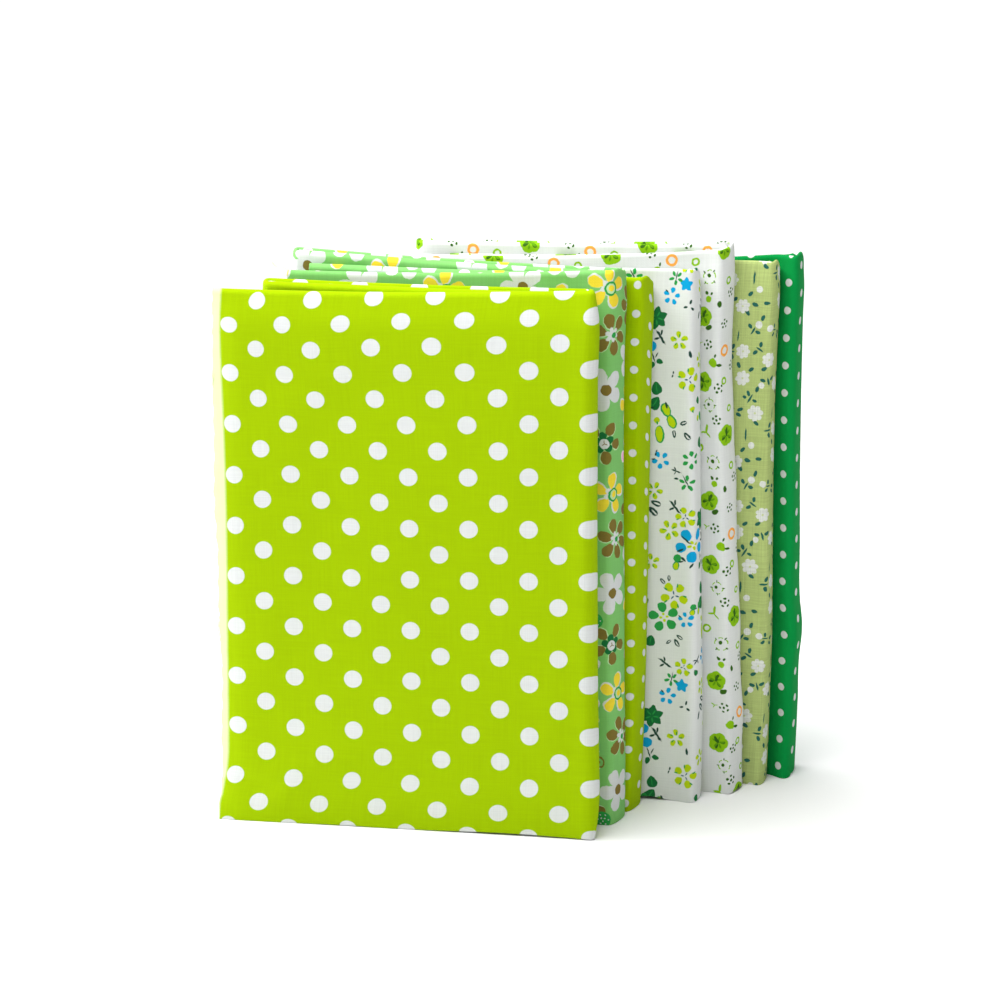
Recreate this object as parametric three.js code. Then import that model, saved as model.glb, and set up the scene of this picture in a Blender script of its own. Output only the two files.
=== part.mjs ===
// A standing row of seven folded cotton squares.
// Each square is folded in thirds to a strip, and the strip is folded in half twice, so seen from
// above a pack is four leaves laid back and forth: the front leaf with the raw edge at its left,
// a turn at the right round to the rear leaf, a short turn at the left, and two leaves inside.
// Millimetres. X runs along the front face to the right, Y to the back, Z up.
import * as THREE from "three";

// The folded cloth
const LEAF_SHARE = 0.17; // thickness of one leaf, as a share of its pack's depth
const LEAF_GAPS = 3; // gaps between the four leaves of a pack
const EDGE_ROUND = 0.4; // rounding of a leaf's top edge, as a share of its thickness
const PACK_GAP = 0.35; // clear space between neighbouring packs
const FULL_HEIGHT = 167; // half a metre folded in thirds

// How fine the surface is
const LEAF_STEPS = 5; // pieces along a leaf
const FLARE_STEPS = 3; // pieces along the stretch that comes forward
const OUTER_TURN_STEPS = 9; // pieces round the outer turn
const INNER_TURN_STEPS = 5; // pieces round a turn inside the pack
const HEIGHT_STEPS = 6; // pieces up the height
const ROUND_STEPS = 2; // pieces in the rounding of the top edge

// Unevenness that the whole row shares
const ROW_BOW = 0.9; // the row's faces bulge this much at half height
const LEAF_WAVE = 0.3; // inner leaves wander by this share of the gap beside them
const LEAF_BOW = 0.25; // the front leaf and the rear leaf bow inwards this much
const HEM_KICK_HEIGHT = 13; // height of the stretch of raw edge that kicks out at the hem
const HEM_KICK_WIDTH = 30; // width of the same stretch
const FLARE_REACH = 9; // length of the stretch by the right turn that comes forward
const RIDGE_SAG = 0.5; // dip of a top ridge between its ends
const INNER_DROP = 1.4; // the two leaves inside a pack end this much lower
const DROP_NEAR = 6; // that drop grows between these two distances from the outer turn
const DROP_FAR = 18;
const RIDGE_FRONT = 0.25; // the top goes from the front ridge to the rear one between these shares
const RIDGE_REAR = 0.75; // of the pack's depth

// One row for each pack, from the front. Lengths in millimetres.
// left, rearLeft: the raw edge of the front leaf, and the left turn of the rear leaf
// right: the outer turn, at half height; lean: how far the top lies right of the foot there
// turn: how far the outer turn reaches past the leaves; it is flatter than a half circle
// depth: front to back; flare: how far the front leaf comes forward at the outer turn
// inner: how far the hidden raw edge lies right of the front one; kick: the hem's reach to the left
// front, frontRight, rear, rearRight: height of the front ridge and the rear ridge, left and right
const PACKS = [
  { name: "pack_1_lime_large_dots", left: 1.2, rearLeft: 12.8, right: 112.5, lean: -1.3, turn: 2.8,
    depth: 12.6, flare: 0.5, inner: 27, kick: 2.4,
    front: 164.4, frontRight: 168.4, rear: 165.6, rearRight: 166.2, color: "#a9cc08" },
  { name: "pack_2_sage_flowers", left: 19.5, rearLeft: 19.2, right: 118.4, lean: -0.6, turn: 3.6,
    depth: 11.6, flare: 0.7, inner: 6, kick: 0.6,
    front: 167.2, frontRight: 171.4, rear: 171.9, rearRight: 169.3, color: "#90c88c" },
  { name: "pack_3_lime_small_dots", left: 24, rearLeft: 27.5, right: 124, lean: 2.4, turn: 3,
    depth: 10.4, flare: 0.9, inner: 9, kick: 0.8,
    front: 163.8, frontRight: 166.2, rear: 163, rearRight: 163.4, color: "#a9cc08" },
  { name: "pack_4_white_sprigs", left: 38.5, rearLeft: 41, right: 139.4, lean: -2.1, turn: 3,
    depth: 8.3, flare: 1.7, inner: 4, kick: 0.5,
    front: 164.6, frontRight: 166.4, rear: 163.6, rearRight: 164.2, color: "#eef0ef" },
  { name: "pack_5_white_roses", left: 56, rearLeft: 52.8, right: 149.4, lean: -4.2, turn: 3.6,
    depth: 8.6, flare: 2.1, inner: 8, kick: 0.9,
    front: 165.2, frontRight: 170.6, rear: 168.3, rearRight: 171.2, color: "#eef0ef" },
  { name: "pack_6_straw_blossoms", left: 60.5, rearLeft: 63, right: 159.2, lean: 1.6, turn: 2.4,
    depth: 8.6, flare: 1.4, inner: 5, kick: 0.6,
    front: 163.4, frontRight: 165, rear: 161.5, rearRight: 162.4, color: "#bccb85" },
  { name: "pack_7_green_small_dots", left: 66.5, rearLeft: 68.5, right: 166.6, lean: -0.3, turn: 2.6,
    depth: 9.6, flare: 4.6, inner: 7, kick: 0.7,
    front: 159.8, frontRight: 165.4, rear: 158.5, rearRight: 162.2, color: "#12924a" },
];

const smooth = (t) => THREE.MathUtils.smoothstep(t, 0, 1);

// Where the front leaf lies at x: it comes forward beside the outer turn.
function flareAt(pack, x) {
  return -pack.flare * smooth(1 - (pack.right - x) / FLARE_REACH);
}

// Depth of each leaf's middle line behind the pack's front, from the front leaf to the rear leaf.
function leafLines(pack) {
  const leaf = LEAF_SHARE * pack.depth;
  const pitch = (pack.depth - leaf) / LEAF_GAPS;
  return { leaf, pitch, lines: [0, 1, 2, 3].map((i) => leaf / 2 + i * pitch) };
}

// The middle line of the folded strip seen from above, from the raw edge in front to the one inside.
function foldLine(pack) {
  const { leaf, pitch, lines } = leafLines(pack);
  const [front, frontInner, rearInner, rear] = lines;
  const sway = LEAF_WAVE * (pitch - leaf);
  const points = [];

  function leafRun(from, to, depthAt) {
    for (let i = 0; i <= LEAF_STEPS; i++) {
      const share = i / LEAF_STEPS;
      const x = THREE.MathUtils.lerp(from, to, share);
      points.push(new THREE.Vector2(x, depthAt(x, share)));
    }
  }
  function turn(x, reach, from, to, steps) {
    const curve = new THREE.EllipseCurve(x, (from + to) / 2, Math.abs(reach), Math.abs(to - from) / 2,
      Math.sign(from - to) * Math.PI / 2, Math.sign(to - from) * Math.PI / 2, (to - from) * reach < 0);
    points.push(...curve.getPoints(steps).slice(1, -1));
  }
  const wave = (share) => sway * Math.sin(2 * Math.PI * share);
  const bow = (share) => LEAF_BOW * Math.sin(Math.PI * share);

  // The inner turn's tip stays one leaf and one gap behind the outer turn's.
  const inner = pitch / 2;
  const outerStart = pack.right - leaf / 2 - pack.turn;
  const innerStart = outerStart + pack.turn - pitch - inner;
  leafRun(pack.left, outerStart - FLARE_REACH, (x, share) => front + flareAt(pack, x) + bow(share));
  for (let i = 1; i <= FLARE_STEPS; i++) {
    const x = outerStart - FLARE_REACH * (1 - i / FLARE_STEPS);
    points.push(new THREE.Vector2(x, front + flareAt(pack, x)));
  }
  turn(outerStart, pack.turn, front + flareAt(pack, outerStart), rear, OUTER_TURN_STEPS);
  leafRun(outerStart, pack.rearLeft + leaf / 2 + inner, (x, share) => rear - bow(share));
  turn(pack.rearLeft + leaf / 2 + inner, -inner, rear, rearInner, INNER_TURN_STEPS);
  leafRun(pack.rearLeft + leaf / 2 + inner, innerStart, (x, share) => rearInner + wave(share));
  turn(innerStart, inner, rearInner, frontInner, INNER_TURN_STEPS);
  leafRun(innerStart, pack.left + pack.inner, (x, share) => frontInner - wave(share));
  return points;
}

// The strip's outline seen from above: its middle line with half a leaf on each side, round at the ends.
function foldOutline(pack) {
  const line = foldLine(pack);
  const half = leafLines(pack).leaf / 2;
  const sides = { left: [], right: [] };
  const direction = (i) => {
    const start = THREE.MathUtils.clamp(i, 0, line.length - 2);
    return new THREE.Vector2().subVectors(line[start + 1], line[start]).normalize();
  };
  line.forEach((point, i) => {
    const along = direction(i - 1).add(direction(i)).normalize();
    const across = new THREE.Vector2(-along.y, along.x).multiplyScalar(half);
    sides.left.push(point.clone().add(across));
    sides.right.push(point.clone().sub(across));
  });
  const tip = (end, before) => {
    const outward = new THREE.Vector2().subVectors(end, before).setLength(half / 2);
    return end.clone().add(outward);
  };
  const last = line.length - 1;
  const firstTip = tip(line[0], line[1]);
  const lastTip = tip(line[last], line[last - 1]);
  return [firstTip, ...sides.right, lastTip, ...sides.left.reverse()];
}

// Height of the top edge over a point of the pack seen from above.
function topAt(pack, x, y) {
  const along = THREE.MathUtils.clamp((x - pack.left) / (pack.right - pack.left), 0, 1);
  const front = THREE.MathUtils.lerp(pack.front, pack.frontRight, along * along);
  const sag = RIDGE_SAG * Math.sin(Math.PI * along);
  const rear = THREE.MathUtils.lerp(pack.rear, pack.rearRight, along) - sag;
  const back = THREE.MathUtils.clamp(y / pack.depth, 0, 1);
  const inside = THREE.MathUtils.smoothstep(pack.right - x, DROP_NEAR, DROP_FAR);
  const drop = INNER_DROP * inside * Math.sin(Math.PI * back) ** 2;
  const toRear = THREE.MathUtils.smoothstep(back, RIDGE_FRONT, RIDGE_REAR);
  return THREE.MathUtils.lerp(front, rear, toRear) - drop;
}

// Moves the straight extrusion into the pack's real, uneven shape.
function makeUneven(geometry, pack, rounding) {
  const place = geometry.getAttribute("position");
  for (let i = 0; i < place.count; i++) {
    const x = place.getX(i);
    const y = place.getY(i);
    const up = Math.max(place.getZ(i), 0) / (FULL_HEIGHT + rounding);
    const z = up * topAt(pack, x, y);
    const hem = Math.exp(-((z / HEM_KICK_HEIGHT) ** 2)) * smooth(1 - (x - pack.left) / HEM_KICK_WIDTH);
    place.setXYZ(
      i,
      x + pack.lean * (up - 0.5) - (y < pack.depth / 2 ? pack.kick * hem : 0),
      y - ROW_BOW * Math.sin(Math.PI * up),
      z,
    );
  }
  geometry.computeVertexNormals();
}

function foldedPack(pack) {
  const rounding = EDGE_ROUND * leafLines(pack).leaf;
  const geometry = new THREE.ExtrudeGeometry(new THREE.Shape(foldOutline(pack)), {
    depth: FULL_HEIGHT,
    steps: HEIGHT_STEPS,
    bevelThickness: rounding,
    bevelSize: rounding,
    bevelOffset: -rounding,
    bevelSegments: ROUND_STEPS,
  });
  makeUneven(geometry, pack, rounding);
  const cloth = new THREE.MeshStandardMaterial({ color: pack.color, roughness: 0.9, metalness: 0 });
  const mesh = new THREE.Mesh(geometry, cloth);
  mesh.name = pack.name;
  return mesh;
}

// The packs stand one behind the other, each against the one in front.
const row = new THREE.Group();
let front = 0;
for (const pack of PACKS) {
  const mesh = foldedPack(pack);
  mesh.position.y = front;
  row.add(mesh);
  front += pack.depth + PACK_GAP;
}

// The origin is under the middle of the row, on the surface it stands on.
const reach = new THREE.Box3().setFromObject(row, true);
row.position.set(-(reach.min.x + reach.max.x) / 2, -(reach.min.y + reach.max.y) / 2, 0);

const group = new THREE.Group();
group.add(row);
export default group;
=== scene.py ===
"""A standing row of seven folded, printed cotton squares, laid out as a Blender add-on.

Lengths are millimetres in the tables and functions, and metres on the finished meshes."""

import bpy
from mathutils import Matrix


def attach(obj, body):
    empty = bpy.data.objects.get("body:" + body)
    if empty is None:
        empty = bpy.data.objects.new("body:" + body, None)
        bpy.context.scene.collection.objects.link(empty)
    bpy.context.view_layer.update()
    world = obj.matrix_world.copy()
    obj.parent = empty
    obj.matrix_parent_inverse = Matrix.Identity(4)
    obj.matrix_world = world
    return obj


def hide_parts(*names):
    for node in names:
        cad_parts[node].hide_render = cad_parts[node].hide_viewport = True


bl_info = {
    "name": "Row of Folded Cotton Squares",
    "version": (1, 0, 0),
    "blender": (4, 5, 0),
    "location": "View3D > Sidebar > Cotton Squares",
    "description": "Adds seven folded, printed cotton squares that stand on edge in a row",
    "category": "Add Mesh",
}

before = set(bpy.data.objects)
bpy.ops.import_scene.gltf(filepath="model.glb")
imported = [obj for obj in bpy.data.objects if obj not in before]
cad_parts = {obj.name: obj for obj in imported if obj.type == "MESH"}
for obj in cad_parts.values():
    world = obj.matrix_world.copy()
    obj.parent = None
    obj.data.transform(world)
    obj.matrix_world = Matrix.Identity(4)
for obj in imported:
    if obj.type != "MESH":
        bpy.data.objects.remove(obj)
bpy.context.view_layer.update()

import math
from collections import namedtuple

import bpy
import numpy as np
from mathutils import Vector

MM = 0.001

# One row for each pack, from the front, in millimetres. All but the slot and the last three columns are its
# solid's:
# left, rear_left: the raw edge of the front leaf and the left turn of the rear leaf
# right, lean: the outer turn at half height, and how far its top lies right of its foot
# turn: how far the outer turn reaches past the leaves
# depth, flare: front to back, and how far the front leaf comes forward at the outer turn
# inner, kick: how far the hidden raw edge lies right of the front one, and the hem's reach to the left
# front, front_right, rear, rear_right: the heights of the front ridge and of the rear ridge, left and right
# middle: how far up from the front ridge to the rear one the second leaf ends, as a share
# puff: how far the middle of the front face stands out from its borders
# fold: the outer turn seen from above, corner by corner: share of its reach, and of the pack's depth
Pack = namedtuple("Pack", "node slot left rear_left right lean turn depth flare inner kick "
                          "front front_right rear rear_right middle puff fold")
# A corner in front, furthest out at the rear
SLANTED = ((0, 0), (0.3, 0), (1.02, 0.62), (0.95, 1), (0, 1))
# A sharp edge in front that hides the rest
TUCKED = ((0, 0), (0.62, 0), (0.72, 0.05), (0.3, 0.5), (-0.2, 1), (-0.8, 1))
# Nearly square, furthest out behind the middle
UPRIGHT = ((0, 0), (0.62, -0.02), (1.02, 0.6), (0.9, 1), (0, 1))
PACKS = [
    Pack("pack_1_lime_large_dots", "lime_large_dot_cotton", 1.2, 12.8, 112.5, -1.3, 2.8,
         12.6, 0.5, 27, 2.4, 164.4, 168.4, 165.6, 166.2, 0, 1.4, TUCKED),
    Pack("pack_2_sage_flowers", "sage_flower_cotton", 19.5, 19.2, 118.4, -0.6, 3.6,
         11.6, 0.7, 6, 0.6, 167.2, 171.4, 171.9, 169.3, 0.45, 0, SLANTED),
    Pack("pack_3_lime_small_dots", "lime_small_dot_cotton", 24, 27.5, 124, 2.4, 3,
         10.4, 0.9, 9, 0.8, 163.8, 166.2, 163, 163.4, 0, 0, SLANTED),
    Pack("pack_4_white_sprigs", "white_sprig_cotton", 38.5, 41, 139.4, -2.1, 3,
         8.3, 1.7, 4, 0.5, 164.6, 166.4, 163.6, 164.2, 0, 0, UPRIGHT),
    Pack("pack_5_white_roses", "white_rose_cotton", 56, 52.8, 149.4, -4.2, 3.6,
         8.6, 2.1, 8, 0.9, 165.2, 170.6, 168.3, 171.2, 0.2, 0, SLANTED),
    Pack("pack_6_straw_blossoms", "straw_blossom_cotton", 60.5, 63, 159.2, 1.6, 2.4,
         8.6, 1.4, 5, 0.6, 163.4, 165, 161.5, 162.4, 0, 0, UPRIGHT),
    Pack("pack_7_green_small_dots", "green_small_dot_cotton", 66.5, 68.5, 166.6, -0.3, 2.6,
         9.6, 4.6, 7, 0.7, 159.8, 165.4, 158.5, 162.2, 0, 0, UPRIGHT),
]
ROW_START = (-82.811, -35.298)  # where the first pack's x and y are 0

LEAF_SHARE = 0.17  # thickness of one leaf, as a share of its pack's depth
PACK_GAP = 0.35  # clear space between neighbouring packs
FULL_HEIGHT = 167.0  # half a metre folded in thirds
ROW_BOW = 0.9  # the row's faces bulge this much at half height
LEAF_WAVE = 0.3  # inner leaves wander by this share of the gap beside them
LEAF_BOW = 0.25  # the front leaf and the rear leaf bow inwards this much
HEM_KICK_HEIGHT = 13.0  # height of the stretch of raw edge that kicks out at the hem
HEM_KICK_WIDTH = 30.0
FLARE_REACH = 9.0  # length of the stretch by the right turn that comes forward
RIDGE_SAG = 0.5
RIDGE_FRONT = 0.25  # the top goes from the front ridge to the rear one between these shares of the depth
RIDGE_REAR = 0.75
FOOT_LEAN = 1.8  # the lowest part of the row leans forward this much
FOOT_REACH = 24.0
TOP_LEAN = 0.3  # and the highest part leans back
TOP_REACH = 14.0
PUFF_REACH = 10.0  # height over which the leaves spread towards each other below their tops
CROWN_HEIGHT = 0.5  # the spread is full this far below the top
PUFF_BORDER = (8.0, 6.0, 16.0, 18.0)  # width of a puffed face's soft border: left, right, foot, top

# How far a leaf's printed side and its plain side move out at the top, as shares of the gap between two
# leaves, and how much lower than its ridge that part of the strip ends, in millimetres
Top = namedtuple("Top", "printed plain drop")
TOPS = {
    "front": Top(-0.45, 0.42, 0), "outer turn": Top(-0.5, 0.3, 0), "rear": Top(-0.4, 0.42, 0),
    "left turn": Top(-0.4, 0.2, 0), "rear inside": Top(0.42, 0.42, 0.2), "inner turn": Top(0.2, 0.3, 0.6),
    "front inside": Top(0.42, 0.42, 0.9),
}

# Creases in the face and the outer turn of a front leaf. across, up: the middle, from the raw
# edge and the foot; turn: degrees from level; length, width: to where it fades; rise: out of the face, or in
Crease = namedtuple("Crease", "across up turn length width rise")
CREASES = {
    "pack_1_lime_large_dots": [
        (22, 128, 62, 26, 7, 0.22), (34, 96, 78, 34, 9, -0.2), (14, 60, 84, 30, 5, 0.18),
        (60, 139, 8, 38, 6, -0.22), (88, 118, 82, 36, 8, 0.2), (70, 64, 98, 40, 10, -0.2),
        (30, 22, 12, 34, 6, 0.3), (52, 14, 4, 30, 5, -0.2), (8, 12, 130, 14, 4, -0.35),
        (18, 9, 40, 12, 3.5, 0.3), (100, 40, 88, 42, 5, 0.2)],
    "pack_2_sage_flowers": [
        (97, 120, 86, 50, 3, 0.25), (95, 48, 95, 40, 2.5, -0.25), (98, 22, 70, 14, 3, 0.3)],
    "pack_3_lime_small_dots": [
        (97, 90, 92, 60, 2.4, -0.25), (99, 30, 84, 26, 2.4, 0.3), (96, 150, 60, 12, 3, 0.25)],
    "pack_4_white_sprigs": [
        (88, 138, 80, 30, 3, -0.3), (93, 96, 96, 44, 4, 0.25), (86, 52, 84, 34, 3, -0.3),
        (95, 28, 66, 18, 3, 0.35), (99.5, 84, 90, 70, 1.6, 0.25), (88, 8, 24, 10, 3, 0.4)],
    "pack_5_white_roses": [
        (86, 150, 40, 9, 3, 0.3), (88, 112, 94, 34, 3, -0.3), (93, 74, 70, 16, 3, 0.4),
        (87, 40, 84, 26, 3, 0.3), (93, 12, 40, 9, 3, -0.4)],
    "pack_6_straw_blossoms": [
        (95, 120, 92, 44, 2.4, -0.25), (97, 66, 86, 30, 2.4, 0.25), (94, 18, 60, 12, 3, -0.3)],
    "pack_7_green_small_dots": [
        (92, 132, 88, 34, 3, 0.3), (97, 84, 94, 44, 3, -0.35), (95, 42, 70, 16, 4, 0.5),
        (98, 16, 100, 16, 3, -0.3)],
}
# How far a pack's right edge lies right of its solid's, at these heights. A program worked out all rows but
# the first from where the edges lie in the photo.
EDGE_HEIGHTS = (0, 24, 48, 72, 96, 120, 144, 168)
EDGE_OUT = dict(zip([pack.node for pack in PACKS], (
    (0.7, 0.3, 0, 0, -0.1, 0, 0.1, 1.2),
    (0.5, 0.4, 0, 0, -0.4, -0.5, -0.4, 0.5),
    (-0.3, 0.1, 0.3, 0.2, 0, -0.2, -0.3, 0.2),
    (-0.4, 0, -0.1, -0.3, -0.5, -0.7, -0.8, -0.2),
    (0.1, 0.2, -0.4, -0.4, -1.2, -1.4, -1.5, -0.4),
    (-0.1, 0.1, 0.3, -0.2, -0.7, -0.9, -0.6, 0),
    (-0.7, -0.1, -0.3, -0.3, -0.7, -0.8, -0.7, -0.1),
)))
# How far the front pack's raw edge lies left of its solid's, at the same heights. It reaches too far: the
# photo's edge lies up to 1.5 mm further right in the upper half, and its print runs to the edge.
RAW_EDGE_OUT = {"pack_1_lime_large_dots": (0.5, 1.3, 0.9, 1.1, 1.5, 1.55, 1.0, 1.2)}
RAW_EDGE_REACH = 14.0  # the face stretches over this width to reach it
# Small bumps on a right edge: up, reach, out
EDGE_BUMPS = {
    "pack_5_white_roses": [(134, 9, -0.35), (98, 7, 0.45), (76, 6, -0.3), (52, 8, 0.45), (24, 7, 0.4)],
    "pack_7_green_small_dots": [(46, 8, 1.1)],
}
EDGE_STRETCH = (16.0, 3.0)  # a right edge's shifts start and are full this far short of its outer turn
# Waves along every raw edge: out, turn of phase for each millimetre up, phase at the foot
RAW_EDGE_WAVES = ((0.16, 0.9, 0), (0.1, 2.3, 1), (0.2, 0.17, 0))
RAW_EDGE_WIDTH = 1.2  # how far into the cloth they reach
# Stretches of the front hem that stand a little off the surface: across, reach, lift
HEM_LIFTS = {
    "pack_1_lime_large_dots": [(86, 24, 0.7), (34, 12, 0.25)],
    "pack_4_white_sprigs": [(85, 5, 1.1)],
    "pack_5_white_roses": [(95, 4, 0.7)],
}
HEM_LIFT_HEIGHT = 18.0  # the cloth above a lifted hem gives over this height
# Loose yarns at the raw edge: (across, out from the face, up) along each, in millimetres
THREADS = {
    "pack_1_lime_large_dots": [
        [(0.2, 0.2, 142), (-1.2, 0.6, 139.5), (-1.9, 0.5, 136), (-1.1, 0.3, 133.8), (0.1, 0.2, 133)],
        [(0.1, 0.2, 66), (-1.1, 0.4, 64.5), (-1.6, 0.6, 60.5), (-0.9, 0.3, 57), (-1.5, 0.3, 54.5)],
        [(0.1, 0.1, 104), (-0.9, 0.2, 102.8), (-1.2, 0.4, 100.9)]],
    "pack_2_sage_flowers": [
        [(0.3, -1.5, 167), (-1.8, -1.2, 168.4), (-3.6, -1.4, 168.1), (-4.9, -1.2, 169.6)],
        [(0.2, -1.2, 165), (-1.6, -1.0, 165.2), (-3.1, -1.1, 164.3)]],
}
THREAD_RADIUS = 0.11


def srgb(code):
    """A colour as a painter writes it, #rrggbb, in the linear values that the shaders use."""
    parts = [int(code[i : i + 2], 16) / 255 for i in (1, 3, 5)]
    return tuple(c / 12.92 if c <= 0.04045 else ((c + 0.055) / 1.055) ** 2.4 for c in parts)


def smooth(t):
    t = np.clip(t, 0, 1)
    return t * t * (3 - 2 * t)


def smooth_between(value, low, high):
    return smooth((value - low) / (high - low))


def bell(distance, reach):
    return np.exp(-((distance / reach) ** 2))


def lengths_along(points):
    return np.concatenate([[0], np.cumsum(np.linalg.norm(np.diff(points, axis=0), axis=1))])


# The fold

def leaf_lines(pack):
    """The thickness of a leaf, and the depth of each leaf's middle line, from the front leaf to the rear."""
    leaf = LEAF_SHARE * pack.depth
    pitch = (pack.depth - leaf) / 3
    return leaf, [leaf / 2 + i * pitch for i in range(4)]


def flare_at(pack, x):
    return -pack.flare * smooth(1 - (pack.right - x) / FLARE_REACH)


# How fine the mesh is seen from above: millimetres between columns on a leaf, and columns round a turn
COLUMN_STEP = {"front": 1.5, "rear": 2.6, "rear inside": 4, "front inside": 4}
TURN_STEPS = {"outer turn": 26, "left turn": 10, "inner turn": 8}


def fold_line(pack):
    """Points along the middle of the folded strip seen from above, from the raw edge in front to the one
    inside, and the name of the part that each belongs to."""
    leaf, (front, front_inner, rear_inner, rear) = leaf_lines(pack)
    pitch = front_inner - front
    sway = LEAF_WAVE * (pitch - leaf)
    inner = pitch / 2
    outer_start = pack.right - leaf / 2 - pack.turn
    inner_start = outer_start + pack.turn - pitch - inner
    rear_start = pack.rear_left + leaf / 2 + inner
    points, parts = [], []

    def leaf_run(part, start, end, depth_at):
        count = max(2, round(abs(end - start) / COLUMN_STEP[part]))
        for i in range(count + 1):
            share = i / count
            x = start + (end - start) * share
            points.append((x, depth_at(x, share)))
            parts.append(part)

    def outer_turn(x, start, end):
        corners = np.array([(x + reach * pack.turn, start + (end - start) * back)
                            for reach, back in pack.fold])
        for _ in range(3):  # each round cuts every corner off at a quarter of both its sides
            before, after = corners[:-1], corners[1:]
            cut = np.stack([0.75 * before + 0.25 * after, 0.25 * before + 0.75 * after], 1)
            corners = np.vstack([corners[:1], cut.reshape(-1, 2), corners[-1:]])
        far = lengths_along(corners)
        for place in np.linspace(0, far[-1], TURN_STEPS["outer turn"] + 1)[1:-1]:
            points.append(tuple(np.interp(place, far, corners[:, i]) for i in (0, 1)))
            parts.append("outer turn")

    def turn(part, x, reach, start, end):
        middle, half = (start + end) / 2, (end - start) / 2
        for i in range(1, TURN_STEPS[part]):
            angle = math.pi * i / TURN_STEPS[part]
            points.append((x + reach * math.sin(angle), middle - half * math.cos(angle)))
            parts.append(part)

    bow = lambda share: LEAF_BOW * math.sin(math.pi * share)
    wave = lambda share: sway * math.sin(2 * math.pi * share)
    leaf_run("front", pack.left, outer_start, lambda x, share: front + flare_at(pack, x) + bow(share))
    outer_turn(outer_start, front + flare_at(pack, outer_start), rear)
    leaf_run("rear", outer_start + pack.fold[-1][0] * pack.turn, rear_start,
             lambda x, share: rear - bow(share))
    turn("left turn", rear_start, -inner, rear, rear_inner)
    leaf_run("rear inside", rear_start, inner_start, lambda x, share: rear_inner + wave(share))
    turn("inner turn", inner_start, inner, rear_inner, front_inner)
    leaf_run("front inside", inner_start, pack.left + pack.inner,
             lambda x, share: front_inner - wave(share))
    return np.array(points), parts


def normals_of(line):
    """The unit direction to the right of travel at each point of a line."""
    along = np.diff(line, axis=0)
    along /= np.linalg.norm(along, axis=1)[:, None]
    both = np.vstack([along[:1], along]) + np.vstack([along, along[-1:]])
    both /= np.linalg.norm(both, axis=1)[:, None]
    return np.stack([both[:, 1], -both[:, 0]], 1)


FLAP_ROWS = 16  # of the flap that ends inside the leaf
FOOT_ROWS = 7
FOOT_ROUND = 0.65  # height of the round fold at the foot, as a share of half the leaf
CROWN_ROUND = 1.5  # and of the one at the top
FINE_FOOT = 14  # the mesh has closer rows below this height
FINE_TOP = 153  # and above this one
FINE_TOP_BEHIND = 150  # the same on the flap behind


def ply_profile(half, sizes):
    """The cloth folded in thirds, seen from its side: (offset across the leaf, height) for each row of the
    mesh. The outer ply has a fold at its foot and one at its top, and both flaps lie behind it."""
    foot = FOOT_ROUND * half
    crown = CROWN_ROUND * half
    rows = [(0.0, z) for z in np.linspace(FULL_HEIGHT - sizes.flap_short / MM, foot, FLAP_ROWS)]
    for angle in np.linspace(0, math.pi, FOOT_ROWS + 2)[1:-1]:
        rows.append((half / 2 * (1 - math.cos(angle)), foot * (1 - math.sin(angle))))
    for z in np.concatenate([np.linspace(foot, FINE_FOOT, 10), np.linspace(FINE_FOOT, FINE_TOP, 70)[1:],
                             np.linspace(FINE_TOP, FULL_HEIGHT - crown, 14)[1:]]):
        rows.append((half, z))
    for angle in np.linspace(0, math.pi, 15)[1:-1]:
        rows.append((half * math.cos(angle), FULL_HEIGHT - crown * (1 - math.sin(angle))))
    for z in np.concatenate([np.linspace(FULL_HEIGHT - crown, FINE_TOP_BEHIND, 10),
                             np.linspace(FINE_TOP_BEHIND, sizes.flap_short / MM, 16)[1:]]):
        rows.append((-half, z))
    return np.array(rows)


def ridges_at(pack, x):
    """Heights of the front ridge and the rear ridge at x."""
    along = np.clip((x - pack.left) / (pack.right - pack.left), 0, 1)
    front = pack.front + (pack.front_right - pack.front) * along**2
    rear = pack.rear + (pack.rear_right - pack.rear) * along - RIDGE_SAG * np.sin(math.pi * along)
    return front, rear


def soft_border(distance, width):
    return 1 - np.clip(1 - distance / width, 0, 1) ** 2


def relief(pack, across, up, width):
    """How far the front face stands out at a place on the cloth: its puff and its creases."""
    left, right, foot, top = PUFF_BORDER
    puff = pack.puff * (soft_border(across, left) * soft_border(width - across, right)
                        * soft_border(up, foot) * soft_border(FULL_HEIGHT - up, top))
    for crease in (Crease(*row) for row in CREASES[pack.node]):
        angle = math.radians(crease.turn)
        aside, above = across - crease.across, up - crease.up
        along = aside * math.cos(angle) + above * math.sin(angle)
        off = above * math.cos(angle) - aside * math.sin(angle)
        puff = puff + crease.rise * bell(off, crease.width) * smooth(1 - np.abs(along) / crease.length)
    return puff


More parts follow.
